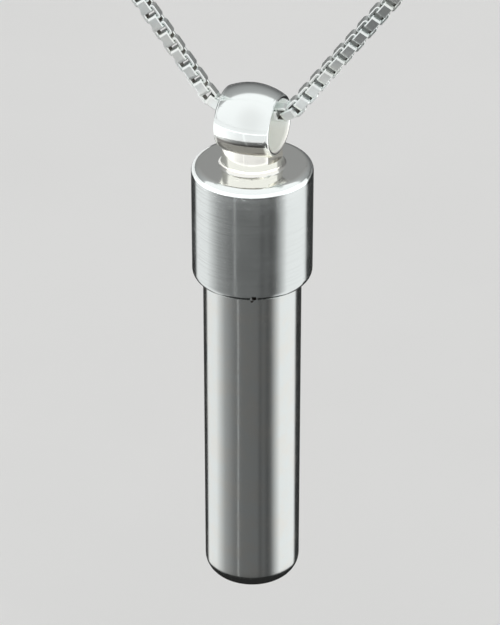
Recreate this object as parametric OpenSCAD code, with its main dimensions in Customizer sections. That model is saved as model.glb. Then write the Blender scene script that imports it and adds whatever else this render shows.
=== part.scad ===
// Keepsake urn pendant on a fine box chain: a round vial that screws into a wider cap,
// a barrel bail soldered to the cap, and the whole loop of the chain with its clasp.
// Millimetres, +Z up. The origin is under the clasp, where the back of a neck bears.

/* [Vial] */
// Outside diameter of the vial tube
tube_d = 6.35; // [5:0.05:9]
// Length of tube that shows below the cap
tube_show = 22.9; // [10:0.1:60]
// Radius of the rounded foot of the vial
foot_round = 1.2; // [0.2:0.05:1.6]
// Thickness of the wall round the chamber
wall_t = 0.675; // [0.6:0.025:1.1]
// Thickness of the closed floor
floor_t = 0.8; // [0.4:0.05:2]
// Radius where the chamber wall meets the floor
floor_round = 0.7; // [0.2:0.05:1.5]

/* [Thread] */
// How far the thread crests stand inside the outside of the tube
crest_inset = 0.175; // [0.15:0.005:0.3]
// Depth of the thread grooves
thread_depth = 0.15; // [0.05:0.01:0.2]
// Distance from one groove to the next
thread_pitch = 0.6; // [0.45:0.05:1]
// Number of grooves
thread_turns = 7; // [1:1:8]
// Running clearance round the vial in the cap
fit_gap = 0.05; // [0.03:0.01:0.1]

/* [Cap] */
// Outside diameter of the cap
cap_d = 7.75; // [7.4:0.05:12]
// Height of the cap
cap_h = 8.05; // [7:0.05:14]
// Thickness of the cap's top
top_t = 0.8; // [0.6:0.05:2]
// Radius of the cap's upper edge
top_round = 0.5; // [0.1:0.05:0.55]
// Radius of the cap's lower edge
rim_round = 0.6; // [0.1:0.05:0.6]
// Depth to which the full tube enters the cap
lip_depth = 1; // [0.5:0.05:1.5]
// Gap left where the vial seats in the cap
seat_gap = 0.1; // [0.05:0.05:0.2]
// Gap between the mouth of the vial and the cap's top
mouth_gap = 0.3; // [0.1:0.05:0.5]

/* [Bail] */
// Diameter of the neck under the bail
neck_d = 3.9; // [2.5:0.05:4.4]
// Height of the full round of the neck
neck_h = 0.7; // [0.4:0.05:3]
// Radius of the solder where the neck stands on the cap
solder_round = 0.35; // [0.05:0.05:0.4]
// Largest diameter of the barrel
bail_d = 4.8; // [4.5:0.05:6.5]
// Diameter of the barrel at its ends
bail_end_d = 4.06; // [3.9:0.02:4.3]
// Length of the barrel
bail_len = 3.7; // [2.5:0.05:3.8]
// Bore that the chain runs through
bail_bore_d = 3.3; // [3.1:0.05:3.5]
// Clear height between the neck's shoulder and the ends of the barrel
bail_lift = 0.22; // [0.05:0.01:0.5]
// Angle by which the pendant hangs turned from the plane of the chain
bail_turn = 5; // [0:1:20]

/* [Chain] */
// Diameter that encloses the box chain
chain_d = 1.2; // [0.8:0.05:1.25]
// Clear gap between the chain and the roof of the bail
chain_gap = 0.22; // [0.2:0.01:0.4]
// Outside diameter of the spring ring clasp
clasp_d = 5.5; // [5:0.1:9]
// Thickness of the clasp's wire
clasp_wire = 0.9; // [0.6:0.05:1]
// Outside diameter of the fixed eye on the clasp
eye_d = 1.9; // [1.7:0.05:2.2]
// Thickness of the eye's wire
eye_wire = 0.5; // [0.4:0.05:0.5]
// Outside diameter of the two jump rings
jump_d = 3.2; // [3.1:0.1:4.5]
// Thickness of the jump rings' wire
jump_wire = 0.6; // [0.4:0.05:0.65]

/* [Hidden] */
$fn = 96;
cut = 1;
chain_sides = 8;
tube_r = tube_d / 2;
chamber_r = tube_r - wall_t;
crest_r = tube_r - crest_inset;
cap_r = cap_d / 2;
lip_r = tube_r + fit_gap;
thread_r = crest_r + fit_gap;
groove_half = thread_pitch * 0.4;
bail_r = bail_d / 2;
bail_end_r = bail_end_d / 2;
bail_bore_r = bail_bore_d / 2;

// The right half of the chain's route, from the bail up and round to the clasp, as x and z.
// The left half mirrors it. A circle carries it over the neck and two straight runs meet it.
route_half = [
    [1.7, -167.8], [2.15, -167.75], [2.6, -167.5], [2.95, -167.1],
    [7, -161.6], [14, -152.1], [22, -141.2], [31, -129], [41, -115.4],
    [52, -100.5], [56, -94.4], [59.1, -88.3], [61.5, -82], [63.3, -75.5], [64.3, -68.8],
    [64.7, -62], [64.3, -55.2], [63.3, -48.5], [61.5, -42], [59.1, -35.7], [56, -29.7],
    [52.3, -24], [48.1, -18.7], [43.3, -13.9], [38, -9.7], [32.4, -6], [26.3, -2.9],
    [20, -0.5], [13.5, 1.3], [9.5, 2], [5.5, 2.5]
];
half_n = len(route_half);
route = concat(
    [for (i = [half_n - 1:-1:0]) [-route_half[i][0], route_half[i][1]]],
    [[0, route_half[0][1]]],
    route_half
);

// Heights, from the chain in the bail down to the foot of the vial
swing_z = route_half[0][1];
bore_z = swing_z + chain_d / 2 + chain_gap - bail_bore_r;
cap_top_z = bore_z - bail_end_r - bail_lift - neck_h;
cap_foot_z = cap_top_z - cap_h;
shoulder_z = cap_foot_z + lip_depth;
mouth_z = cap_top_z - top_t - mouth_gap;
vial_foot_z = cap_foot_z - tube_show;
thread_start_z = shoulder_z + seat_gap + thread_pitch;

// The barrel of the bail: half thickness of its wall, the length it has between the rounded
// lips, and the crown that bulges from the end diameter to the largest one
bail_lip = (bail_end_r - bail_bore_r) / 2;
lip_flat = 0.01;
barrel_half = bail_len / 2 - bail_lip;
crown_rise = bail_r - bail_end_r;
crown_r = (barrel_half * barrel_half + crown_rise * crown_rise) / (2 * crown_rise);
saddle_inset = 0.1;
solder_sink = 0.03;

// Places along X of the clasp and the rings, from the chain's right end back to its left end
clasp_z = clasp_d / 2;
ring_gap = 0.1;
clasp_mid_r = (clasp_d - clasp_wire) / 2;
eye_mid_r = (eye_d - eye_wire) / 2;
jump_mid_r = (jump_d - jump_wire) / 2;
jump_play = jump_mid_r - jump_wire / 2 - clasp_wire / 2 - ring_gap;
right_ring_x = route_half[half_n - 1][0] - ring_gap - jump_d / 2;
clasp_x = right_ring_x - jump_play - clasp_mid_r;
eye_x = clasp_x - clasp_d / 2 - eye_d / 2 + eye_wire * 0.8;
left_ring_x = eye_x - jump_mid_r;

// One ring of the chain's envelope about a route point, square to the way the route runs there
function unit(v) = v / norm(v);
function way(p, i) = unit(p[min(i + 1, len(p) - 1)] - p[max(i - 1, 0)]);
function ring_at(p, i, r, sides) = let (t = way(p, i)) [
    for (k = [0:sides - 1])
        let (a = 360 * (k + 0.5) / sides)
            [p[i][0] - t[1] * r * cos(a), r * sin(a), p[i][1] + t[0] * r * cos(a)]
];

module sweep(p, r, sides) {
    last = len(p) - 1;
    polyhedron(
        points = [for (i = [0:last]) each ring_at(p, i, r, sides)],
        faces = concat(
            [[for (k = [0:sides - 1]) k]],
            [for (i = [0:last - 1]) for (k = [0:sides - 1])
                [i * sides + k, (i + 1) * sides + k,
                 (i + 1) * sides + (k + 1) % sides, i * sides + (k + 1) % sides]],
            [[for (k = [sides - 1:-1:0]) last * sides + k]]
        )
    );
}

// One groove of the thread, cut into a wall of radius r; depth is negative for an outside thread
module groove_section(r, depth) {
    polygon([[r, -groove_half], [r + depth, 0], [r, groove_half]]);
}

module ring(mid_r, wire) {
    rotate_extrude()
        translate([mid_r, 0])
            circle(wire / 2);
}

// The whole loop of box chain, as the round envelope of its links
module chain() {
    color("silver")
        sweep(route, chain_d / 2, chain_sides);
}

// Spring ring clasp with its fixed eye, one plain piece
module clasp() {
    color("gainsboro") {
        translate([clasp_x, 0, clasp_z])
            rotate([90, 0, 0])
                ring(clasp_mid_r, clasp_wire);
        translate([eye_x, 0, clasp_z])
            rotate([90, 0, 0])
                ring(eye_mid_r, eye_wire);
    }
}

module jump_ring(x) {
    color("silver")
        translate([x, 0, clasp_z])
            ring(jump_mid_r, jump_wire);
}

module jump_ring_left() {
    jump_ring(left_ring_x);
}

module jump_ring_right() {
    jump_ring(right_ring_x);
}

// Half section of the barrel, along its own bore
module barrel_section() {
    intersection() {
        translate([bail_r - crown_r, 0])
            circle(crown_r);
        translate([bail_bore_r, -barrel_half])
            square([bail_r, 2 * barrel_half]);
    }
    for (end = [-1, 1])
        translate([bail_bore_r + bail_lip, end * barrel_half])
            circle(bail_lip - lip_flat);
}

module barrel() {
    rotate([0, 90, 0])
        rotate_extrude()
            barrel_section();
}

// Half section of the neck's round, with the solder at its foot
module neck_section() {
    translate([0, -top_t / 2])
        square([neck_d / 2, top_t / 2 + neck_h]);
    difference() {
        translate([0, -top_t / 4])
            square([neck_d / 2 + solder_round, top_t / 4 + solder_round - solder_sink]);
        translate([neck_d / 2 + solder_round, solder_round - solder_sink])
            circle(solder_round);
    }
}

// The neck, from inside the cap's top: a short round, and above it a saddle that stops short
// of the barrel's open ends and ends in the middle of the barrel's wall
module neck() {
    rise = bore_z - cap_top_z;
    saddle_half = barrel_half - saddle_inset;
    difference() {
        union() {
            rotate_extrude()
                neck_section();
            intersection() {
                cylinder(d = neck_d, h = rise);
                translate([-saddle_half, -neck_d, 0])
                    cube([2 * saddle_half, 2 * neck_d, rise]);
            }
        }
        translate([0, 0, rise])
            rotate([0, 90, 0])
                cylinder(r = bail_bore_r + bail_lip, h = 2 * bail_len, center = true);
    }
}

// The cap itself: a cup with a threaded bore and a smooth lip that takes the full tube
module cap_shell() {
    rotate_extrude() {
        difference() {
            square([cap_r, cap_h]);
            translate([-cut, -cut])
                square([lip_r + cut, lip_depth + seat_gap + cut]);
            translate([-cut, -cut])
                square([thread_r + cut, cap_h - top_t + cut]);
            for (i = [0:thread_turns - 1])
                translate([0, thread_start_z - cap_foot_z + i * thread_pitch])
                    groove_section(thread_r, thread_depth);
            edge_cut(cap_r, cap_h, top_round, 1);
            edge_cut(cap_r, 0, rim_round, -1);
        }
    }
}

// What a rounding of radius q takes off the corner at radius r and height z
module edge_cut(r, z, q, side) {
    difference() {
        translate([r - q, side > 0 ? z - q : z - cut])
            square([q + cut, q + cut]);
        translate([r - q, z - side * q])
            circle(q);
    }
}

// Cap, neck and barrel bail, soldered into one
module cap() {
    color("lightgray") {
        translate([0, 0, cap_foot_z])
            cap_shell();
        rotate(-bail_turn) {
            translate([0, 0, cap_top_z])
                neck();
            translate([0, 0, bore_z])
                barrel();
        }
    }
}

// The vial: a closed round chamber with a threaded mouth
module vial() {
    color("silver")
        translate([0, 0, vial_foot_z])
            rotate_extrude()
                difference() {
                    square([tube_r, mouth_z - vial_foot_z]);
                    edge_cut(tube_r, 0, foot_round, -1);
                    chamber_section();
                    translate([crest_r, shoulder_z - vial_foot_z])
                        square([tube_r, mouth_z - shoulder_z + cut]);
                    for (i = [0:thread_turns - 1])
                        translate([0, thread_start_z - vial_foot_z + i * thread_pitch])
                            groove_section(crest_r, -thread_depth);
                }
}

// Half section of the hollow inside the vial
module chamber_section() {
    translate([-cut, floor_t])
        square([chamber_r - floor_round + cut, mouth_z - vial_foot_z]);
    translate([-cut, floor_t + floor_round])
        square([chamber_r + cut, mouth_z - vial_foot_z]);
    translate([chamber_r - floor_round, floor_t + floor_round])
        circle(floor_round);
}

chain();
clasp();
jump_ring_left();
jump_ring_right();
cap();
vial();
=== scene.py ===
"""Keepsake urn pendant on a box chain: the looks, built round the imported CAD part.

Laid out as a Blender add-on and run as a script. All lengths are in metres, in the part's own
frame: +Z up, the origin where the back of a neck bears, the pendant hanging far below it.
"""

import math

import bpy
import numpy as np
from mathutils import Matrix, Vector


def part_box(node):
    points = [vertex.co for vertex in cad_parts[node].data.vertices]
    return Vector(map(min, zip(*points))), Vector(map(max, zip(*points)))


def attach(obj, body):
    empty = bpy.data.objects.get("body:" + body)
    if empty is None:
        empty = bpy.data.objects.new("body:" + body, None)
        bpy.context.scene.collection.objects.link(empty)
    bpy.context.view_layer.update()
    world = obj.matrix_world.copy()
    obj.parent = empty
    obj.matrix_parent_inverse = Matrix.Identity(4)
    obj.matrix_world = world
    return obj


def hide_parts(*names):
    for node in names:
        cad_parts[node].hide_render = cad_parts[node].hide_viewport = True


bl_info = {
    "name": "Keepsake Urn Pendant",
    "version": (1, 0, 0),
    "blender": (4, 5, 0),
    "location": "View3D > Sidebar > Urn Pendant",
    "description": "Builds the links, the threaded vial and the silver finishes of an urn pendant",
    "category": "Object",
}

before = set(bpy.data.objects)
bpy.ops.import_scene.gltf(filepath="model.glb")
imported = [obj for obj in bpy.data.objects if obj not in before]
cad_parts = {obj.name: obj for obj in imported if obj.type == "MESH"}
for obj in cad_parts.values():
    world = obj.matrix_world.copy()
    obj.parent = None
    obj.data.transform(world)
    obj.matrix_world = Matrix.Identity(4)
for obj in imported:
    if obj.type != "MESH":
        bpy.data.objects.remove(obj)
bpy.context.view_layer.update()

MM = 0.001
CAP_LOW, CAP_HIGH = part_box("cap")
VIAL_LOW, VIAL_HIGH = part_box("vial")
TUBE_R = VIAL_HIGH.x
CAP_R = CAP_HIGH.y

# Heights of the cap and the vial, as the CAD source derives them
CAP_TOP_Z = -171.58 * MM
CAP_FOOT_Z = CAP_LOW.z
SHOULDER_Z = -178.63 * MM
BORE_Z = -168.63 * MM
BORE_R = 1.65 * MM
BAIL_TURN = math.radians(-5)

# The right half of the chain's route, as x and z in millimetres, from the CAD source
ROUTE_HALF_MM = (
    (1.7, -167.8), (2.15, -167.75), (2.6, -167.5), (2.95, -167.1),
    (7, -161.6), (14, -152.1), (22, -141.2), (31, -129), (41, -115.4),
    (52, -100.5), (56, -94.4), (59.1, -88.3), (61.5, -82), (63.3, -75.5), (64.3, -68.8),
    (64.7, -62), (64.3, -55.2), (63.3, -48.5), (61.5, -42), (59.1, -35.7), (56, -29.7),
    (52.3, -24), (48.1, -18.7), (43.3, -13.9), (38, -9.7), (32.4, -6), (26.3, -2.9),
    (20, -0.5), (13.5, 1.3), (9.5, 2), (5.5, 2.5),
)

# The photograph's viewing angle, and the level ways to its camera and to the camera's right
VIEW_AZIMUTH = math.radians(18)
VIEW_ELEVATION = math.radians(30.5)
FRONT = Vector((math.sin(VIEW_AZIMUTH), -math.cos(VIEW_AZIMUTH), 0))
SIDE = Vector((math.cos(VIEW_AZIMUTH), math.sin(VIEW_AZIMUTH), 0))
UP = Vector((0, 0, 1))

# Marks on the cap and the vial: a pit at the rim, one at the neck's foot, a darker patch on the
# barrel, the rim pit's painted reflection on the vial under the seam, and a scratch with its
# height, its fall and its middle angle
RIM_PIT = FRONT * (CAP_R - 0.06 * MM) + SIDE * 0.1 * MM + UP * (CAP_FOOT_Z + 0.3 * MM)
NECK_PIT = FRONT * 2.3 * MM + UP * (CAP_TOP_Z + 0.04 * MM)
BARREL_PATCH = FRONT * 2.0 * MM - SIDE * 0.1 * MM + UP * (BORE_Z + 1.0 * MM)
RIM_PIT_REFLECTION = FRONT * TUBE_R + UP * (CAP_FOOT_Z - 0.2 * MM)
SCRATCH_Z = -177.11 * MM
SCRATCH_FALL = -0.62 * MM
SCRATCH_ANGLE = -0.56

# The soldered seam on the neck, and the band of painted shade under the barrel with half its length
SOLDER_Z = CAP_TOP_Z + 0.35 * MM
UNDER_SHADE_LOW_Z = BORE_Z - 1.46 * MM
UNDER_SHADE_HIGH_Z = BORE_Z - 0.42 * MM
UNDER_SHADE_HALF = 1.5 * MM


# Settings


def length(name, text, default):
    return bpy.props.FloatProperty(
        name=name, description=text, default=default, min=0.0, max=1.0,
        unit="LENGTH", subtype="DISTANCE", precision=5,
    )


def angle(name, text, degrees):
    return bpy.props.FloatProperty(
        name=name, description=text, default=math.radians(degrees),
        unit="ROTATION", subtype="ANGLE",
    )


def factor(name, text, default, high=1.0):
    return bpy.props.FloatProperty(
        name=name, description=text, default=default, min=0.0, max=high, subtype="FACTOR",
    )


def colour(name, text, rgb):
    return bpy.props.FloatVectorProperty(
        name=name, description=text, default=rgb, size=3, min=0.0, max=1.0, subtype="COLOR",
    )


class PendantSizes(bpy.types.PropertyGroup):
    link_side: length("Link side", "Outside of a link across the chain", 1.05 * MM)
    link_length: length("Link length", "Outside of a link along the chain", 1.02 * MM)
    link_strip: length("Strip width", "Width of the strip that a link is bent from", 0.65 * MM)
    link_wall: length("Strip thickness", "Thickness of that strip", 0.19 * MM)
    link_bevel: length("Strip bevel", "Bevel along the strip's edges", 0.055 * MM)
    link_corner: length("Link corner", "Outside radius of a link's corners", 0.19 * MM)
    link_inside: length("Link inside corner", "Inside radius of a link's corners", 0.04 * MM)
    link_play: length("Link play", "Play between an end link and the box link in it", 0.02 * MM)
    link_pitch: length("Link pitch", "Distance from one link to the next", 0.62 * MM)
    turn_right: angle("Turn on the right", "Turn of the links' faces about the right strand", 12)
    turn_left: angle("Turn on the left", "Turn of the links' faces about the left strand", -5)
    turn_run: length("Turn run", "Half the run in which the chain turns inside the bail", 3 * MM)
    end_link_r: length("End link radius", "Middle radius of the two end links", 0.86 * MM)
    end_link_wire: length("End link wire", "Wire of the two end links", 0.28 * MM)
    end_link_x: length("End link place", "Distance of the end links from the middle", 5.45 * MM)
    end_link_z: length("End link height", "Height of the end links over the origin", 2.55 * MM)
    foot_round: length("Foot rounding", "Radius of the vial's rounded foot", 1.2 * MM)
    vial_edge: length("Vial edge", "Broken edge at the vial's shoulder and mouth", 0.05 * MM)
    chamber_r: length("Chamber radius", "Inside radius of the vial", 2.5 * MM)
    floor_t: length("Floor thickness", "Thickness of the vial's closed floor", 0.8 * MM)
    floor_round: length("Floor rounding", "Radius between chamber wall and floor", 0.7 * MM)
    crest_r: length("Thread crest", "Radius of the thread's crests", 3.0 * MM)
    thread_start: length("Thread start", "Height of the thread's start over the shoulder", 0.4 * MM)
    thread_depth: length("Thread depth", "Depth of the thread's groove", 0.15 * MM)
    thread_pitch: length("Thread pitch", "Rise of the thread in one turn", 0.6 * MM)
    thread_turns: bpy.props.IntProperty(
        name="Thread turns", description="Turns of the thread", default=7, min=1, max=8
    )


class PendantFinish(bpy.types.PropertyGroup):
    silver: colour("Silver", "Colour of the bright silver", (0.905, 0.95, 0.94))
    warm: colour("Warm silver", "Colour of the silver round the neck", (0.95, 0.925, 0.86))
    # Besides tarnish in seams and pits, this dark colour paints shade under the barrel and in the links'
    # insides, and the rim pit's reflection on the vial
    soot_and_shade: colour("Tarnish", "Colour of tarnish in seams and pits", (0.10, 0.085, 0.07))
    cap_roughness: factor("Cap roughness", "Roughness of the brushed cap", 0.15)
    vial_roughness: factor("Vial roughness", "Roughness of the polished vial", 0.13)
    bail_roughness: factor("Bail roughness", "Roughness of the polished bail", 0.09)
    bore_frost: factor("Bore frost", "How matt and pale the bail's bore is", 0.5)
    chain_roughness: factor("Chain roughness", "Roughness of the links", 0.30)
    tarnish_roughness: factor("Tarnish roughness", "Roughness of the insides of the links", 0.45)
    findings_roughness: factor("Findings roughness", "Roughness of the clasp and its rings", 0.1)


class StudioLook(bpy.types.PropertyGroup):
    floor: colour("Floor", "Colour of the plain floor", (0.86, 0.86, 0.85))
    floor_drop: length("Floor drop", "How far the floor lies under the vial's foot", 15 * MM)
    backdrop: colour("Backdrop", "Colour of the plain backdrop", (0.80, 0.80, 0.79))
    dome: factor("Dome", "Brightness of the soft light round the object", 1.0, high=10.0)
    table: factor("Table light", "Brightness of the light that metal picks up from below", 1.0, high=10.0)


def settings():
    scene = bpy.context.scene
    return scene.pendant_sizes, scene.pendant_finish, scene.studio_look


# Meshes


def new_piece(name, verts, faces, material, sharp=None):
    """A mesh object in the scene, smooth up to the angle `sharp` and flat without it."""
    mesh = bpy.data.meshes.new(name)
    mesh.from_pydata([tuple(v) for v in verts], [], [tuple(f) for f in faces])
    mesh.validate()
    mesh.update()
    if sharp is not None:
        mesh.shade_smooth()
        mesh.set_sharp_from_angle(angle=sharp)
    mesh.materials.append(material)
    piece = bpy.data.objects.new(name, mesh)
    bpy.context.scene.collection.objects.link(piece)
    return piece


def ring_of_faces(first, second, count):
    """Faces between two rings of points that start at those places, counted the same way round."""
    return [
        (first + k, first + (k + 1) % count, second + (k + 1) % count, second + k)
        for k in range(count)
    ]


def ride_as(piece, body):
    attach(piece, body)


# Helpers for shader nodes

# How the nodes are laid out in the editor
NODES_IN_ROW = 8
NODE_WIDTH, NODE_HEIGHT = 220, 260


class Sheet:
    """Adds nodes to one node tree and joins them, so that a material reads from top to bottom."""

    def __init__(self, tree):
        self.tree = tree
        self.count = 0

    def node(self, kind, **values):
        made = self.tree.nodes.new(kind)
        row, column = divmod(self.count, NODES_IN_ROW)
        made.location = (column * NODE_WIDTH, -row * NODE_HEIGHT)
        self.count += 1
        for key, value in values.items():
            setattr(made, key, value)
        return made

    def feed(self, socket, value):
        if isinstance(value, bpy.types.NodeSocket):
            self.tree.links.new(value, socket)
        else:
            socket.default_value = value

    def math(self, operation, first, second=0.0, third=None):
        made = self.node("ShaderNodeMath", operation=operation)
        self.feed(made.inputs[0], first)
        self.feed(made.inputs[1], second)
        if third is not None:
            self.feed(made.inputs[2], third)
        return made.outputs[0]

    def vector(self, operation, first, second=None, scale=None):
        made = self.node("ShaderNodeVectorMath", operation=operation)
        self.feed(made.inputs[0], first)
        if second is not None:
            self.feed(made.inputs[1], second)
        if scale is not None:
            self.feed(made.inputs["Scale"], scale)
        scalar = operation in ("LENGTH", "DOT_PRODUCT", "DISTANCE")
        return made.outputs["Value" if scalar else "Vector"]

    def remap(self, value, low, high, to_low=0.0, to_high=1.0, kind="SMOOTHSTEP"):
        made = self.node("ShaderNodeMapRange", interpolation_type=kind)
        for socket, number in zip(made.inputs, (value, low, high, to_low, to_high)):
            self.feed(socket, number)
        return made.outputs["Result"]

    def noise(self, vector, scale, detail=2.0, roughness=0.5):
        made = self.node("ShaderNodeTexNoise")
        self.feed(made.inputs["Vector"], vector)
        self.feed(made.inputs["Scale"], scale)
        made.inputs["Detail"].default_value = detail
        made.inputs["Roughness"].default_value = roughness
        return made.outputs["Fac"]

    def colour_noise(self, vector, scale):
        made = self.node("ShaderNodeTexNoise")
        self.feed(made.inputs["Vector"], vector)
        self.feed(made.inputs["Scale"], scale)
        return made.outputs["Color"]

    def near(self, value, place, full, none):
        """1 where `value` is within `full` of `place`, falling to 0 at the distance `none`."""
        off = self.math("ABSOLUTE", self.math("SUBTRACT", value, place))
        return self.remap(off, full, none, 1.0, 0.0)

    def mix(self, amount, first, second):
        made = self.node("ShaderNodeMix", data_type="RGBA")
        self.feed(made.inputs["Factor"], amount)
        self.feed(made.inputs[6], first)
        self.feed(made.inputs[7], second)
        return made.outputs[2]

    def place(self):
        return self.node("ShaderNodeTexCoord").outputs["Object"]

    def group(self, tree, **values):
        made = self.node("ShaderNodeGroup", node_tree=tree)
        for key, value in values.items():
            self.feed(made.inputs[key.replace("_", " ")], value)
        return made.outputs


def group_sheet(name, inputs, outputs):
    """A new shader node group with the named sockets, its Sheet, and its input and output nodes."""
    tree = bpy.data.node_groups.new(name, "ShaderNodeTree")
    for label, kind, default in inputs:
        socket = tree.interface.new_socket(name=label, in_out="INPUT", socket_type=kind)
        socket.default_value = default
    for label, kind in outputs:
        tree.interface.new_socket(name=label, in_out="OUTPUT", socket_type=kind)
    sheet = Sheet(tree)
    return tree, sheet, sheet.node("NodeGroupInput").outputs, sheet.node("NodeGroupOutput").inputs


def once(name, build):
    return bpy.data.node_groups.get(name) or build(name)


def build_turning_lines(name):
    """Fine lines that a lathe or brush leaves round an upright axis."""
    tree, sheet, into, out = group_sheet(
        name,
        [
            ("Place", "NodeSocketVector", (0, 0, 0)),
            ("Lines", "NodeSocketFloat", 9000.0),
            ("Streak", "NodeSocketFloat", 250.0),
        ],
        [("Height", "NodeSocketFloat")],
    )
    scale = sheet.node("ShaderNodeCombineXYZ")
    sheet.feed(scale.inputs[0], into["Streak"])
    sheet.feed(scale.inputs[1], into["Streak"])
    sheet.feed(scale.inputs[2], into["Lines"])
    drawn_out = sheet.vector("MULTIPLY", into["Place"], scale.outputs[0])
    sheet.feed(out["Height"], sheet.noise(drawn_out, 1.0, 3.0, 0.6))
    return tree


def build_hand_polish(name):
    """Slow unevenness of hand polishing, with short hairline scratches over it."""
    tree, sheet, into, out = group_sheet(
        name,
        [
            ("Place", "NodeSocketVector", (0, 0, 0)),
            ("Waves", "NodeSocketFloat", 400.0),
            ("Hairlines", "NodeSocketFloat", 900.0),
        ],
        [("Waves", "NodeSocketFloat"), ("Scratches", "NodeSocketFloat"), ("Haze", "NodeSocketFloat")],
    )
    place = into["Place"]
    sheet.feed(out["Waves"], sheet.noise(place, into["Waves"], 1.0, 0.4))
    wander = sheet.vector("SCALE", sheet.colour_noise(place, 500.0), scale=0.8 * MM)
    bent = sheet.vector("ADD", place, wander)
    cells = sheet.node("ShaderNodeTexVoronoi", feature="DISTANCE_TO_EDGE")
    sheet.feed(cells.inputs["Vector"], bent)
    sheet.feed(cells.inputs["Scale"], into["Hairlines"])
    line = sheet.remap(cells.outputs["Distance"], 0.0, 0.018, 1.0, 0.0)
    broken = sheet.remap(sheet.noise(place, 1400.0, 1.0), 0.52, 0.6)
    sheet.feed(out["Scratches"], sheet.math("MULTIPLY", line, broken))
    sheet.feed(out["Haze"], sheet.remap(sheet.noise(place, 650.0, 4.0, 0.6), 0.35, 0.7))
    return tree


def build_pit(name):
    """A small round pit at one place: 1 in its middle, 0 outside its radius."""
    tree, sheet, into, out = group_sheet(
        name,
        [
            ("Place", "NodeSocketVector", (0, 0, 0)),
            ("Centre", "NodeSocketVector", (0, 0, 0)),
            ("Radius", "NodeSocketFloat", 0.2 * MM),
            ("Wander", "NodeSocketFloat", 0.1 * MM),
        ],
        [("Mask", "NodeSocketFloat")],
    )
    wobble = sheet.math("SUBTRACT", sheet.noise(into["Place"], 6000.0, 2.0), 0.5)
    away = sheet.vector("DISTANCE", into["Place"], into["Centre"])
    reach = sheet.math("MULTIPLY_ADD", wobble, into["Wander"], away)
    share = sheet.math("DIVIDE", reach, into["Radius"])
    sheet.feed(out["Mask"], sheet.remap(share, 0.55, 1.0, 1.0, 0.0))
    return tree


def new_material(name, metallic=1.0, roughness=None):
    """A material with its own Principled BSDF, the sheet of its nodes, and the shader's sockets."""
    material = bpy.data.materials.new(name)
    material.use_nodes = True
    tree = material.node_tree
    tree.nodes.clear()
    sheet = Sheet(tree)
    shader = sheet.node("ShaderNodeBsdfPrincipled")
    output = sheet.node("ShaderNodeOutputMaterial")
    tree.links.new(shader.outputs[0], output.inputs["Surface"])
    shader.inputs["Metallic"].default_value = metallic
    if roughness is not None:
        shader.inputs["Roughness"].default_value = roughness
    return material, sheet, shader.inputs


def bump(sheet, height, distance, strength, normal=None):
    made = sheet.node("ShaderNodeBump")
    made.inputs["Strength"].default_value = strength
    made.inputs["Distance"].default_value = distance
    sheet.feed(made.inputs["Height"], height)
    if normal is not None:
        sheet.feed(made.inputs["Normal"], normal)
    return made.outputs[0]


def rgba(three):
    return (*three, 1.0)


# Materials


def polished(sheet, place, waves, hairlines):
    """The outputs of the shared group for hand polishing."""
    group = once("hand_polish", build_hand_polish)
    return sheet.group(group, Place=place, Waves=waves, Hairlines=hairlines)


def turned_lines(sheet, place, lines, streak):
    """The height of the shared group for lathe and brush lines."""
    group = once("turning_lines", build_turning_lines)
    return sheet.group(group, Place=place, Lines=lines, Streak=streak)["Height"]


def pitted(sheet, place, centre, radius, wander):
    group = once("pit", build_pit)
    return sheet.group(group, Place=place, Radius=radius, Wander=wander, Centre=tuple(centre))["Mask"]


def chain_silver():
    finish = settings()[1]
    material, sheet, shader = new_material("chain_silver")
    place = sheet.place()
    polish = polished(sheet, place, waves=1500.0, hairlines=2600.0)
    haze = sheet.math("MULTIPLY", polish["Haze"], 0.35)
    sheet.feed(shader["Base Color"], sheet.mix(haze, rgba(finish.silver), rgba(finish.warm)))
    rough = sheet.math("MULTIPLY_ADD", polish["Haze"], 0.08, finish.chain_roughness)
    sheet.feed(shader["Roughness"], rough)
    waves = bump(sheet, polish["Waves"], distance=0.02 * MM, strength=0.3)
    normal = bump(sheet, polish["Scratches"], distance=0.004 * MM, strength=0.15, normal=waves)
    sheet.feed(shader["Normal"], normal)
    return material


def chain_tarnish_and_shade():
    """The insides of the links, which no polishing reaches: tarnish, with painted shade for these
    recesses.
    """
    finish = settings()[1]
    material, sheet, shader = new_material("chain_tarnish_and_shade", roughness=finish.tarnish_roughness)
    # Tarnish and painted shade together: warm silver spotted dark toward the soot colour
    spots = sheet.remap(sheet.noise(sheet.place(), 1800.0, 2.0), 0.35, 0.65, 0.6, 0.9)
    sheet.feed(shader["Base Color"], sheet.mix(spots, rgba(finish.warm), rgba(finish.soot_and_shade)))
    return material


def findings_silver():
    finish = settings()[1]
    material, sheet, shader = new_material("findings_silver")
    place = sheet.place()
    polish = polished(sheet, place, waves=700.0, hairlines=1500.0)
    sheet.feed(shader["Base Color"], sheet.mix(polish["Haze"], rgba(finish.silver), rgba(finish.warm)))
    rough = sheet.math("MULTIPLY_ADD", polish["Haze"], 0.06, finish.findings_roughness)
    sheet.feed(shader["Roughness"], rough)
    waves = bump(sheet, polish["Waves"], distance=0.03 * MM, strength=0.5)
    normal = bump(sheet, polish["Scratches"], distance=0.004 * MM, strength=0.5, normal=waves)
    sheet.feed(shader["Normal"], normal)
    return material


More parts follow.
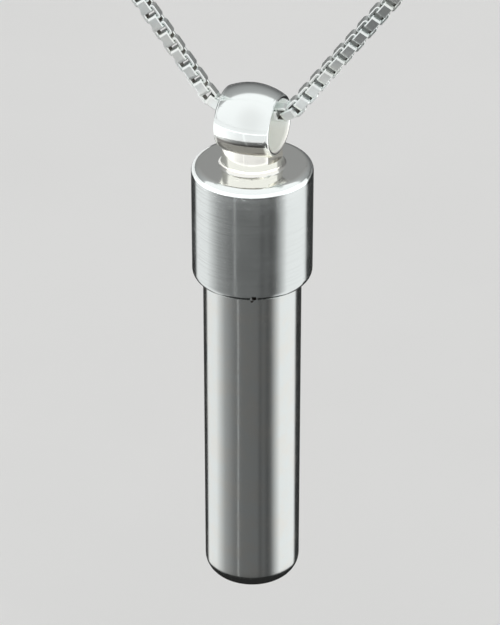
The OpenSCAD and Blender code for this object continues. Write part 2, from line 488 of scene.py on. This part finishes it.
def neck_masks(sheet, place, up):
    """Three masks about the bail: round the neck, inside the bore, and a band of painted shade on the
    barrel's underside between them.
    """
    round_neck = sheet.math(
        "MULTIPLY",
        sheet.remap(up, CAP_TOP_Z - 0.1 * MM, CAP_TOP_Z + 0.1 * MM),
        sheet.remap(up, BORE_Z - 1.2 * MM, BORE_Z + 0.2 * MM, 1.0, 0.0),
    )
    bore_way = (math.cos(BAIL_TURN), math.sin(BAIL_TURN), 0.0)
    from_bore = sheet.vector("SUBTRACT", place, (0.0, 0.0, BORE_Z))
    off_axis = sheet.vector("LENGTH", sheet.vector("CROSS_PRODUCT", from_bore, bore_way))
    along_axis = sheet.math("ABSOLUTE", sheet.vector("DOT_PRODUCT", from_bore, bore_way))
    in_bore = sheet.math(
        "MULTIPLY",
        sheet.remap(off_axis, BORE_R + 0.02 * MM, BORE_R + 0.12 * MM, 1.0, 0.0),
        sheet.remap(up, CAP_TOP_Z + 0.2 * MM, CAP_TOP_Z + 0.3 * MM),
    )
    # Painted shade: a dark band on the barrel's underside, above the neck and outside the bore
    under_barrel_shade = sheet.math(
        "MULTIPLY",
        sheet.remap(up, UNDER_SHADE_HIGH_Z - 0.2 * MM, UNDER_SHADE_HIGH_Z, 1.0, 0.0),
        sheet.remap(up, UNDER_SHADE_LOW_Z, UNDER_SHADE_LOW_Z + 0.1 * MM),
    )
    outside = sheet.remap(off_axis, BORE_R + 0.1 * MM, BORE_R + 0.2 * MM)
    under_barrel_shade = sheet.math("MULTIPLY", under_barrel_shade, outside)
    under = sheet.remap(along_axis, UNDER_SHADE_HALF, UNDER_SHADE_HALF + 0.2 * MM, 1.0, 0.0)
    return round_neck, in_bore, sheet.math("MULTIPLY", under_barrel_shade, under)


def cap_pits(sheet, place, up):
    """The pit at the rim, and fainter the one at the neck's foot and the broken solder seam."""
    rim_pit = pitted(sheet, place, RIM_PIT, radius=0.24 * MM, wander=0.25 * MM)
    neck_pit = pitted(sheet, place, NECK_PIT, radius=0.12 * MM, wander=0.25 * MM)
    broken = sheet.remap(sheet.noise(place, 900.0, 2.0), 0.42, 0.62)
    seam = sheet.math("MULTIPLY", sheet.near(up, SOLDER_Z, full=0.0, none=0.05 * MM), broken)
    faint = sheet.math("MULTIPLY", sheet.math("MAXIMUM", neck_pit, seam), 0.35)
    return sheet.math("MAXIMUM", rim_pit, faint)


def cap_scratch(sheet, up, around):
    """One curved scratch across the wall."""
    height = sheet.math("MULTIPLY_ADD", around, SCRATCH_FALL, SCRATCH_Z)
    return sheet.math(
        "MULTIPLY",
        sheet.near(up, height, full=0.0, none=0.05 * MM),
        sheet.near(around, SCRATCH_ANGLE, full=0.1, none=0.25),
    )


def cap_silver():
    """Brushed round its wall, polished on the bail, warm and creased where the neck is soldered, with
    painted shade under the barrel.
    """
    finish = settings()[1]
    material, sheet, shader = new_material("cap_silver")
    place = sheet.place()
    parts = sheet.node("ShaderNodeSeparateXYZ")
    sheet.feed(parts.inputs[0], place)
    up = parts.outputs[2]
    around = sheet.math(
        "ARCTAN2",
        sheet.vector("DOT_PRODUCT", place, tuple(SIDE)),
        sheet.vector("DOT_PRODUCT", place, tuple(FRONT)),
    )
    polish = polished(sheet, place, waves=450.0, hairlines=1100.0)
    lines = turned_lines(sheet, place, lines=11000.0, streak=260.0)
    on_wall = sheet.remap(up, CAP_TOP_Z - 0.55 * MM, CAP_TOP_Z - 0.75 * MM)
    round_neck, in_bore, under_barrel_shade = neck_masks(sheet, place, up)
    pits = cap_pits(sheet, place, up)
    scratch = cap_scratch(sheet, up, around)
    # A patch of darker silver on the barrel's front, where it faces the camera
    patch_away = sheet.vector("DISTANCE", place, tuple(BARREL_PATCH))
    patch = sheet.remap(patch_away, 0.25 * MM, 1.25 * MM, 1.0, 0.0)
    grain = sheet.math("MULTIPLY", sheet.remap(lines, 0.45, 0.75), on_wall)
    grain = sheet.math("MULTIPLY", grain, sheet.remap(around, -0.5, 0.6, 0.16, 0.05))

    soot_and_shade = rgba(finish.soot_and_shade)
    tone = sheet.mix(sheet.math("MULTIPLY", round_neck, 0.75), rgba(finish.silver), rgba(finish.warm))
    # Painted shade darkens the barrel's underside toward the soot colour
    tone = sheet.mix(sheet.math("MULTIPLY", under_barrel_shade, 0.8), tone, soot_and_shade)
    tone = sheet.mix(sheet.math("MULTIPLY", patch, 0.12), tone, soot_and_shade)
    tone = sheet.mix(grain, tone, soot_and_shade)
    sheet.feed(shader["Base Color"], sheet.mix(pits, tone, soot_and_shade))

    # The bore is left matt and pale
    sheet.feed(shader["Metallic"], sheet.math("MULTIPLY_ADD", in_bore, -finish.bore_frost, 1.0))
    rough = sheet.math(
        "ADD",
        sheet.remap(on_wall, 0.0, 1.0, finish.bail_roughness, finish.cap_roughness, "LINEAR"),
        sheet.math("MULTIPLY", polish["Haze"], 0.05),
    )
    rough = sheet.math("MULTIPLY_ADD", in_bore, finish.bore_frost, rough)
    sheet.feed(shader["Roughness"], rough)

    brushed = bump(sheet, sheet.math("MULTIPLY", lines, on_wall), distance=0.003 * MM, strength=0.5)
    waves = bump(sheet, polish["Waves"], distance=0.03 * MM, strength=0.3, normal=brushed)
    scratched = bump(sheet, polish["Scratches"], distance=0.004 * MM, strength=0.35, normal=waves)
    unscored = sheet.math("SUBTRACT", 1.0, scratch)
    scored = bump(sheet, unscored, distance=0.004 * MM, strength=0.6, normal=scratched)
    unpitted = sheet.math("SUBTRACT", 1.0, pits)
    normal = bump(sheet, unpitted, distance=0.06 * MM, strength=1.0, normal=scored)
    sheet.feed(shader["Normal"], normal)
    return material


def vial_silver():
    """Drawn and polished, with the rim pit's reflection painted dark on it just under the cap's seam."""
    finish = settings()[1]
    material, sheet, shader = new_material("vial_silver")
    place = sheet.place()
    polish = polished(sheet, place, waves=260.0, hairlines=900.0)
    lines = turned_lines(sheet, place, lines=7000.0, streak=220.0)
    haze = sheet.math("MULTIPLY", polish["Haze"], 0.5)
    tone = sheet.mix(haze, rgba(finish.silver), rgba(finish.warm))
    # A painted reflection: the cap's rim pit shown dark on the vial just under the seam
    pit_reflection = pitted(sheet, place, RIM_PIT_REFLECTION, radius=0.13 * MM, wander=0.2 * MM)
    pit_reflection = sheet.math("MULTIPLY", pit_reflection, 0.8)
    sheet.feed(shader["Base Color"], sheet.mix(pit_reflection, tone, rgba(finish.soot_and_shade)))
    rough = sheet.math("MULTIPLY_ADD", polish["Haze"], 0.04, finish.vial_roughness)
    sheet.feed(shader["Roughness"], rough)
    drawn = bump(sheet, lines, distance=0.003 * MM, strength=0.4)
    waves = bump(sheet, polish["Waves"], distance=0.04 * MM, strength=0.3, normal=drawn)
    normal = bump(sheet, polish["Scratches"], distance=0.003 * MM, strength=0.3, normal=waves)
    sheet.feed(shader["Normal"], normal)
    return material


# The chain

# Points on a link's corner, edges round its strip's section, and which of them is the inside face
CORNER_STEPS = 3
STRIP_EDGES = 8
INSIDE_EDGE = 3


def link_template(sizes):
    """One box link: a strip bent to a rounded square. Columns: along, across, strip width."""
    half_l, half_s = sizes.link_length / 2, sizes.link_side / 2
    bevel, half_w = sizes.link_bevel, sizes.link_strip / 2
    outer_r, inner_r = sizes.link_corner, sizes.link_inside
    inset = sizes.link_wall + inner_r
    sides = ((1, 1), (-1, 1), (-1, -1), (1, -1))
    verts = []
    for corner, (along_sign, across_sign) in enumerate(sides):
        for step in range(CORNER_STEPS):
            bend = (corner + step / (CORNER_STEPS - 1)) * math.pi / 2
            reach = Vector((math.cos(bend), math.sin(bend)))
            outer_middle = Vector((along_sign * (half_l - outer_r), across_sign * (half_s - outer_r)))
            inner_middle = Vector((along_sign * (half_l - inset), across_sign * (half_s - inset)))
            outer = outer_middle + reach * outer_r
            inner = inner_middle + reach * inner_r
            inward = (inner - outer).normalized() * bevel
            ring = (
                (outer, half_w - bevel), (outer + inward, half_w),
                (inner - inward, half_w), (inner, half_w - bevel),
                (inner, bevel - half_w), (inner - inward, -half_w),
                (outer + inward, -half_w), (outer, bevel - half_w),
            )
            verts += [(p.x, p.y, b) for p, b in ring]
    around, through = len(sides) * CORNER_STEPS, STRIP_EDGES
    faces = [
        (i * through + k, i * through + (k + 1) % through,
         (i + 1) % around * through + (k + 1) % through, (i + 1) % around * through + k)
        for i in range(around) for k in range(through)
    ]
    return np.array(verts), np.array(faces)


def torus_grid(mid_r, wire_r, around=40, through=14):
    """A ring of round wire in the plane of the first and third columns."""
    verts = [
        ((mid_r + wire_r * math.cos(b)) * math.cos(a), wire_r * math.sin(b),
         (mid_r + wire_r * math.cos(b)) * math.sin(a))
        for a in np.linspace(0, 2 * math.pi, around, endpoint=False)
        for b in np.linspace(0, 2 * math.pi, through, endpoint=False)
    ]
    faces = [
        (i * through + k, (i + 1) % around * through + k,
         (i + 1) % around * through + (k + 1) % through, i * through + (k + 1) % through)
        for i in range(around) for k in range(through)
    ]
    return np.array(verts), np.array(faces)


def route_points():
    """The open route from the chain's left end, under the clasp, round to its right end."""
    right = [(x * MM, z * MM) for x, z in ROUTE_HALF_MM]
    left = [(-x, z) for x, z in reversed(right)]
    return np.array(left + [(0.0, right[0][1])] + right)


def along(points, reach, where):
    """Points at the given distances along the route."""
    return np.stack([np.interp(where, reach, points[:, k]) for k in (0, 1)], axis=1)


def link_places(sizes):
    """Where each link's middle lies on the route, and the way that the chain runs there."""
    points = route_points()
    reach = np.concatenate([[0], np.cumsum(np.linalg.norm(np.diff(points, axis=0), axis=1))])
    # The first and last box links hang in the end links
    skip = sizes.link_length / 2 - sizes.link_wall + sizes.link_play
    first_x = sizes.end_link_x + sizes.end_link_r + sizes.end_link_wire / 2 - skip
    # Over the first quarter of its points the route runs outwards
    outward = len(points) // 4
    start = float(np.interp(first_x, -points[:outward, 0], reach[:outward]))
    run = reach[-1] - 2 * start
    count = round(run / sizes.link_pitch)
    count += 1 - count % 2
    spots = start + np.arange(count) * run / (count - 1)
    half = sizes.link_pitch / 2
    ways = along(points, reach, spots + half) - along(points, reach, spots - half)
    ways /= np.linalg.norm(ways, axis=1)[:, None]
    return along(points, reach, spots), ways


def box_links(sizes):
    """Every box link in its place, each turned a quarter turn from the next."""
    shape, faces = link_template(sizes)
    run_x, run_turn = (-sizes.turn_run, sizes.turn_run), (sizes.turn_left, sizes.turn_right)
    verts, all_faces = [], []
    for i, (centre, way) in enumerate(zip(*link_places(sizes))):
        forward = np.array((way[0], 0.0, way[1]))
        outside = np.array((way[1], 0.0, -way[0]))
        turn = np.interp(centre[0], run_x, run_turn)
        facing = -math.cos(turn) * np.array((0, 1, 0)) + math.sin(turn) * outside
        other = np.cross(forward, facing)
        across, strip = (other, facing) if i % 2 == 0 else (facing, other)
        base = np.array((centre[0], 0.0, centre[1]))
        verts.append(base + shape @ np.stack([forward, across, strip]))
        all_faces.append(faces + i * len(shape))
    return np.concatenate(verts), np.concatenate(all_faces)


class PENDANT_OT_chain(bpy.types.Operator):
    """Bends and links every box link of the loop, with a round end link at the clasp's rings"""

    bl_idname = "pendant.chain"
    bl_label = "Chain links"

    def execute(self, context):
        sizes = settings()[0]
        links, faces = box_links(sizes)
        smooth_from = len(faces)
        ring, ring_faces = torus_grid(sizes.end_link_r, sizes.end_link_wire / 2)
        for side in (-1, 1):
            faces = np.concatenate([faces, ring_faces + len(links)])
            middle = np.array((side * sizes.end_link_x, 0, sizes.end_link_z))
            links = np.concatenate([links, ring + middle])
        chain = new_piece("chain_links", links, faces.tolist(), chain_silver())
        # The links' inside faces take the tarnish with its painted shade
        chain.data.materials.append(chain_tarnish_and_shade())
        for polygon in chain.data.polygons:
            boxed = polygon.index < smooth_from
            polygon.use_smooth = not boxed
            polygon.material_index = int(boxed and polygon.index % STRIP_EDGES == INSIDE_EDGE)
        ride_as(chain, "necklace")
        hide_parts("chain")
        return {"FINISHED"}


class PENDANT_OT_findings(bpy.types.Operator):
    """Gives the clasp and its two jump rings their polished silver"""

    bl_idname = "pendant.findings"
    bl_label = "Clasp and rings"

    def execute(self, context):
        silver = findings_silver()
        for name in ("clasp", "jump_ring_left", "jump_ring_right"):
            dress(name, silver)
        return {"FINISHED"}


def dress(node, material):
    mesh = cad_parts[node].data
    mesh.materials.clear()
    mesh.materials.append(material)


class PENDANT_OT_cap(bpy.types.Operator):
    """Gives the cap with its bail the brushed and polished silver of the photographed one"""

    bl_idname = "pendant.cap"
    bl_label = "Cap and bail"

    def execute(self, context):
        dress("cap", cap_silver())
        return {"FINISHED"}


# The vial

# Sides round the vial, rows of points up its thread, and half a groove's share of the pitch
VIAL_SIDES = 128
THREAD_ROWS = 96
GROOVE_HALF = 0.4
# Where the flat foot and floor have rings of points, as shares of the radius, and how far the
# rings along the wall keep from its rounded end and from the mouth
FLAT_RINGS = (0.2, 0.4)
ROUND_MARGIN = 0.5 * MM
MOUTH_MARGIN = 3 * MM
SHARP_ANGLE = math.radians(35)


def arc(centre_r, centre_z, radius, start, end, steps):
    """Points on an arc of the vial's section, the two ends included."""
    return [
        (centre_r + radius * math.cos(a), centre_z + radius * math.sin(a))
        for a in np.linspace(math.radians(start), math.radians(end), steps)
    ]


def vial_section(sizes):
    """The vial's half section as radius and height, from its foot round to its floor, and the
    first and last place of the thread in it."""
    foot, mouth, edge = VIAL_LOW.z, VIAL_HIGH.z, sizes.vial_edge
    rounding, chamber, inside = sizes.foot_round, sizes.chamber_r, sizes.floor_round
    floor = foot + sizes.floor_t
    low, high = thread_heights(sizes)
    outer = [(TUBE_R * share, foot) for share in FLAT_RINGS]
    outer += arc(TUBE_R - rounding, foot + rounding, rounding, -90, 0, 12)
    wall_low = foot + rounding + ROUND_MARGIN
    outer += [(TUBE_R, z) for z in np.linspace(wall_low, SHOULDER_Z - edge, 10)]
    outer += [(TUBE_R - edge, SHOULDER_Z), (sizes.crest_r, SHOULDER_Z)]
    thread = [(sizes.crest_r, float(z)) for z in np.linspace(low, high, THREAD_ROWS)]
    rim = [(sizes.crest_r, mouth - 2 * edge), (sizes.crest_r - edge, mouth), (chamber + edge, mouth)]
    inner = [(chamber, mouth - edge)]
    chamber_low = floor + inside + ROUND_MARGIN
    inner += [(chamber, z) for z in np.linspace(mouth - MOUTH_MARGIN, chamber_low, 6)]
    inner += arc(chamber - inside, floor + inside, inside, 0, -90, 8)
    inner += [(chamber * share, floor) for share in reversed(FLAT_RINGS)]
    first = len(outer)
    return outer + thread + rim + inner, first, first + THREAD_ROWS


def thread_heights(sizes):
    low = SHOULDER_Z + sizes.thread_start
    return low, low + (sizes.thread_turns + 1) * sizes.thread_pitch


def thread_cut(sizes, z, share):
    """How deep the thread cuts at the height `z` and that share of a turn, eased in and out."""
    low, high = thread_heights(sizes)
    pitch = sizes.thread_pitch
    turn = (z - low) / pitch - share
    dip = max(0.0, 1 - abs((turn % 1.0) - 0.5) / GROOVE_HALF)
    ease = min(1.0, max(0.0, (z - low) / pitch), max(0.0, (high - z) / pitch))
    return sizes.thread_depth * dip * ease


class PENDANT_OT_vial(bpy.types.Operator):
    """Turns the vial with its rounded foot, open mouth and a real helical thread on its neck"""

    bl_idname = "pendant.vial"
    bl_label = "Threaded vial"

    def execute(self, context):
        sizes = settings()[0]
        section, first, last = vial_section(sizes)
        verts = [(0.0, 0.0, VIAL_LOW.z)]
        for i, (radius, z) in enumerate(section):
            for k in range(VIAL_SIDES):
                way = 2 * math.pi * k / VIAL_SIDES
                cut = thread_cut(sizes, z, k / VIAL_SIDES) if first <= i < last else 0.0
                verts.append(((radius - cut) * math.cos(way), (radius - cut) * math.sin(way), z))
        tip = len(verts)
        verts.append((0.0, 0.0, VIAL_LOW.z + sizes.floor_t))
        faces = [(0, 1 + (k + 1) % VIAL_SIDES, 1 + k) for k in range(VIAL_SIDES)]
        for i in range(len(section) - 1):
            faces += ring_of_faces(1 + i * VIAL_SIDES, 1 + (i + 1) * VIAL_SIDES, VIAL_SIDES)
        top = 1 + (len(section) - 1) * VIAL_SIDES
        faces += [(tip, top + k, top + (k + 1) % VIAL_SIDES) for k in range(VIAL_SIDES)]
        vial = new_piece("vial_turned", verts, faces, vial_silver(), sharp=SHARP_ANGLE)
        ride_as(vial, "vial")
        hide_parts("vial")
        return {"FINISHED"}


# The studio

# Light that the upright metal picks up from below, by the angle round the pendant from the
# camera's side, positive to the right: two soft boxes left and right, dim in front, dark behind
TABLE_LIGHT = (
    (-180, 0.10), (-162, 0.10), (-156, 0.03), (-134, 0.03), (-128, 0.80), (-93, 0.78),
    (-66, 0.31), (-52, 0.22), (-44, 0.17), (-36, 0.14), (-34, 0.16), (-32.5, 0.60),
    (-31, 0.14), (-20, 0.13), (12, 0.12), (18, 0.08), (26, 0.11), (36, 0.07), (44, 0.12),
    (68, 0.82), (116, 0.84), (125, 0.03), (156, 0.03), (162, 0.10), (180, 0.10),
)
# The same under the pendant, and farther out, where it meets the dome
UNDER_LIGHT = ((-180, 0.02), (180, 0.02))
FAR_LIGHT = ((-180, 0.10), (-125, 0.30), (-105, 0.93), (105, 0.93), (125, 0.30), (180, 0.10))
# The rings of the table light, each a radius and the light there
TABLE_RINGS = (
    (19 * MM, UNDER_LIGHT), (22 * MM, TABLE_LIGHT), (180 * MM, TABLE_LIGHT),
    (190 * MM, FAR_LIGHT), (2.0, FAR_LIGHT),
)
TABLE_STEPS = 360
TABLE_LIFT = 0.3 * MM
# Light of the dome, by the angle from the camera's horizon up, over and down behind
DOME_LIGHT = (
    (-180, 0.05), (-60, 0.3), (-22, 0.5), (-17, 0.95), (116, 1.02), (121, 0.42), (150, 0.31),
    (180, 0.10),
)
# The ring of lamps round the bail: its radius, its heights, its level, and in degrees from the
# camera's side where it runs and how much of it each lamp takes
LAMP_R = 9 * MM
LAMP_LOW_Z, LAMP_HIGH_Z = -174.65 * MM, -169.9 * MM
LAMP_LEVEL = 0.74
LAMP_FROM, LAMP_TO, LAMP_STEP = -150, 95, 15
# The camera: what it looks at, how far from there it stands, and its lens in millimetres
AIM = UP * -182.53 * MM - SIDE * 0.15 * MM
CAMERA_AWAY = 185 * MM
LENS_MM = 164.2
FLOOR_REACH = 4.0


def level_way(degrees):
    """The level way at that angle round the pendant from the camera's side."""
    way = VIEW_AZIMUTH - math.pi / 2 + math.radians(degrees)
    return Vector((math.cos(way), math.sin(way), 0))


class PENDANT_OT_studio(bpy.types.Operator):
    """Sets the camera, the plain pale floor and the soft light round the object"""

    bl_idname = "pendant.studio"
    bl_label = "Studio"

    def execute(self, context):
        self.camera()
        floor_z = VIAL_LOW.z - settings()[2].floor_drop
        self.floor(floor_z)
        self.table_light(floor_z)
        self.bail_lamps()
        self.dome()
        context.scene.view_settings.view_transform = "Standard"
        return {"FINISHED"}

    @staticmethod
    def camera():
        back = FRONT * math.cos(VIEW_ELEVATION) + UP * math.sin(VIEW_ELEVATION)
        lens = bpy.data.cameras.new("camera")
        lens.lens = LENS_MM
        lens.clip_start, lens.clip_end = 10 * MM, 10.0
        seen = bpy.data.objects.new("camera", lens)
        seen.location = AIM + back * CAMERA_AWAY
        seen.rotation_euler = (-back).to_track_quat("-Z", "Y").to_euler()
        bpy.context.scene.collection.objects.link(seen)
        bpy.context.scene.camera = seen

    @staticmethod
    def floor(floor_z):
        look = settings()[2]
        material, sheet, shader = new_material("pale_floor", metallic=0.0, roughness=0.7)
        grain = sheet.remap(sheet.noise(sheet.place(), 40.0, 3.0), 0.3, 0.7, 0.985, 1.0)
        sheet.feed(shader["Base Color"], sheet.vector("SCALE", tuple(look.floor), scale=grain))
        shader["Specular IOR Level"].default_value = 0.1
        signs = ((-1, -1), (1, -1), (1, 1), (-1, 1))
        verts = [(x * FLOOR_REACH, y * FLOOR_REACH, floor_z) for x, y in signs]
        new_piece("floor", verts, [(0, 1, 2, 3)], material)

    @staticmethod
    def table_light(floor_z):
        """A ring on the floor that only reflections see: the studio as the upright metal shows it."""
        material = bpy.data.materials.new("table_light")
        material.use_nodes = True
        tree = material.node_tree
        tree.nodes.clear()
        sheet = Sheet(tree)
        level = sheet.node("ShaderNodeAttribute", attribute_name="level").outputs["Fac"]
        shine = sheet.node("ShaderNodeEmission")
        sheet.feed(shine.inputs["Strength"], sheet.math("MULTIPLY", level, settings()[2].table))
        tree.links.new(shine.outputs[0], sheet.node("ShaderNodeOutputMaterial").inputs["Surface"])
        middle = UP * (floor_z + TABLE_LIFT)
        verts, levels = [middle], [UNDER_LIGHT[0][1]]
        for radius, light in TABLE_RINGS:
            for k in range(TABLE_STEPS):
                degrees = -180 + 360 * k / TABLE_STEPS
                verts.append(middle + level_way(degrees) * radius)
                levels.append(float(np.interp(degrees, *zip(*light))))
        faces = [(0, 1 + k, 1 + (k + 1) % TABLE_STEPS) for k in range(TABLE_STEPS)]
        for ring in range(len(TABLE_RINGS) - 1):
            faces += ring_of_faces(1 + (ring + 1) * TABLE_STEPS, 1 + ring * TABLE_STEPS, TABLE_STEPS)
        table = new_piece("table_light", verts, faces, material)
        table.data.attributes.new("level", "FLOAT", "POINT").data.foreach_set("value", levels)
        for way in ("camera", "diffuse", "shadow", "transmission", "volume_scatter"):
            setattr(table, "visible_" + way, False)

    @staticmethod
    def bail_lamps():
        """Soft lamps round the bail. Its polish shows them, and from the front the cap's wall doesn't."""
        for degrees in range(LAMP_FROM, LAMP_TO, LAMP_STEP):
            out = level_way(degrees)
            light = bpy.data.lights.new("bail_lamp", "AREA")
            light.shape = "RECTANGLE"
            light.size = 2 * LAMP_R * math.tan(math.radians(LAMP_STEP) / 2)
            light.size_y = LAMP_HIGH_Z - LAMP_LOW_Z
            area = light.size * light.size_y
            light.energy = math.pi * area * LAMP_LEVEL * settings()[2].dome
            light.use_shadow = False
            lamp = bpy.data.objects.new("bail_lamp", light)
            lamp.location = out * LAMP_R + UP * (LAMP_LOW_Z + LAMP_HIGH_Z) / 2
            lamp.rotation_euler = out.to_track_quat("Z", "Y").to_euler()
            lamp.visible_camera = False
            bpy.context.scene.collection.objects.link(lamp)

    @staticmethod
    def dome():
        """A plain pale backdrop to the camera, and a soft overhead and front light to the rest."""
        look = settings()[2]
        world = bpy.data.worlds.new("studio")
        world.use_nodes = True
        tree = world.node_tree
        tree.nodes.clear()
        sheet = Sheet(tree)
        way = sheet.node("ShaderNodeTexCoord").outputs["Generated"]
        ahead = sheet.vector("DOT_PRODUCT", way, tuple(FRONT))
        parts = sheet.node("ShaderNodeSeparateXYZ")
        sheet.feed(parts.inputs[0], way)
        over = sheet.math("ARCTAN2", parts.outputs[2], ahead)
        ramp = sheet.node("ShaderNodeValToRGB")
        sheet.feed(ramp.inputs["Fac"], sheet.remap(over, -math.pi, math.pi, kind="LINEAR"))
        stops = ramp.color_ramp.elements
        stops.remove(stops[1])
        top = max(level for _, level in DOME_LIGHT)
        for i, (degrees, level) in enumerate(DOME_LIGHT):
            where = (degrees + 180) / 360
            stop = stops.new(where) if i else stops[0]
            stop.position = where
            stop.color = (level / top,) * 3 + (1,)
        shine = sheet.node("ShaderNodeBackground")
        sheet.feed(shine.inputs["Color"], ramp.outputs["Color"])
        shine.inputs["Strength"].default_value = top * look.dome
        plain = sheet.node("ShaderNodeBackground")
        plain.inputs["Color"].default_value = rgba(look.backdrop)
        choose = sheet.node("ShaderNodeMixShader")
        sheet.feed(choose.inputs[0], sheet.node("ShaderNodeLightPath").outputs["Is Camera Ray"])
        tree.links.new(shine.outputs[0], choose.inputs[1])
        tree.links.new(plain.outputs[0], choose.inputs[2])
        tree.links.new(choose.outputs[0], sheet.node("ShaderNodeOutputWorld").inputs["Surface"])
        bpy.context.scene.world = world


# The panel and the run


class PENDANT_PT_panel(bpy.types.Panel):
    bl_idname = "PENDANT_PT_panel"
    bl_label = "Urn Pendant"
    bl_space_type = "VIEW_3D"
    bl_region_type = "UI"
    bl_category = "Urn Pendant"

    def draw(self, context):
        layout = self.layout
        for operator in OPERATORS:
            layout.operator(operator.bl_idname)
        for group in settings():
            box = layout.box()
            for name in group.__annotations__:
                box.prop(group, name)


OPERATORS = (
    PENDANT_OT_studio, PENDANT_OT_chain, PENDANT_OT_findings, PENDANT_OT_cap, PENDANT_OT_vial,
)
GROUPS = {
    "pendant_sizes": PendantSizes, "pendant_finish": PendantFinish, "studio_look": StudioLook,
}
CLASSES = (*GROUPS.values(), *OPERATORS, PENDANT_PT_panel)


def register():
    for each in CLASSES:
        bpy.utils.register_class(each)
    for name, group in GROUPS.items():
        setattr(bpy.types.Scene, name, bpy.props.PointerProperty(type=group))


def unregister():
    for name in GROUPS:
        delattr(bpy.types.Scene, name)
    for each in reversed(CLASSES):
        bpy.utils.unregister_class(each)


def main():
    register()
    bpy.ops.pendant.studio()
    bpy.ops.pendant.chain()
    bpy.ops.pendant.findings()
    bpy.ops.pendant.cap()
    bpy.ops.pendant.vial()


if __name__ == "__main__":
    main()
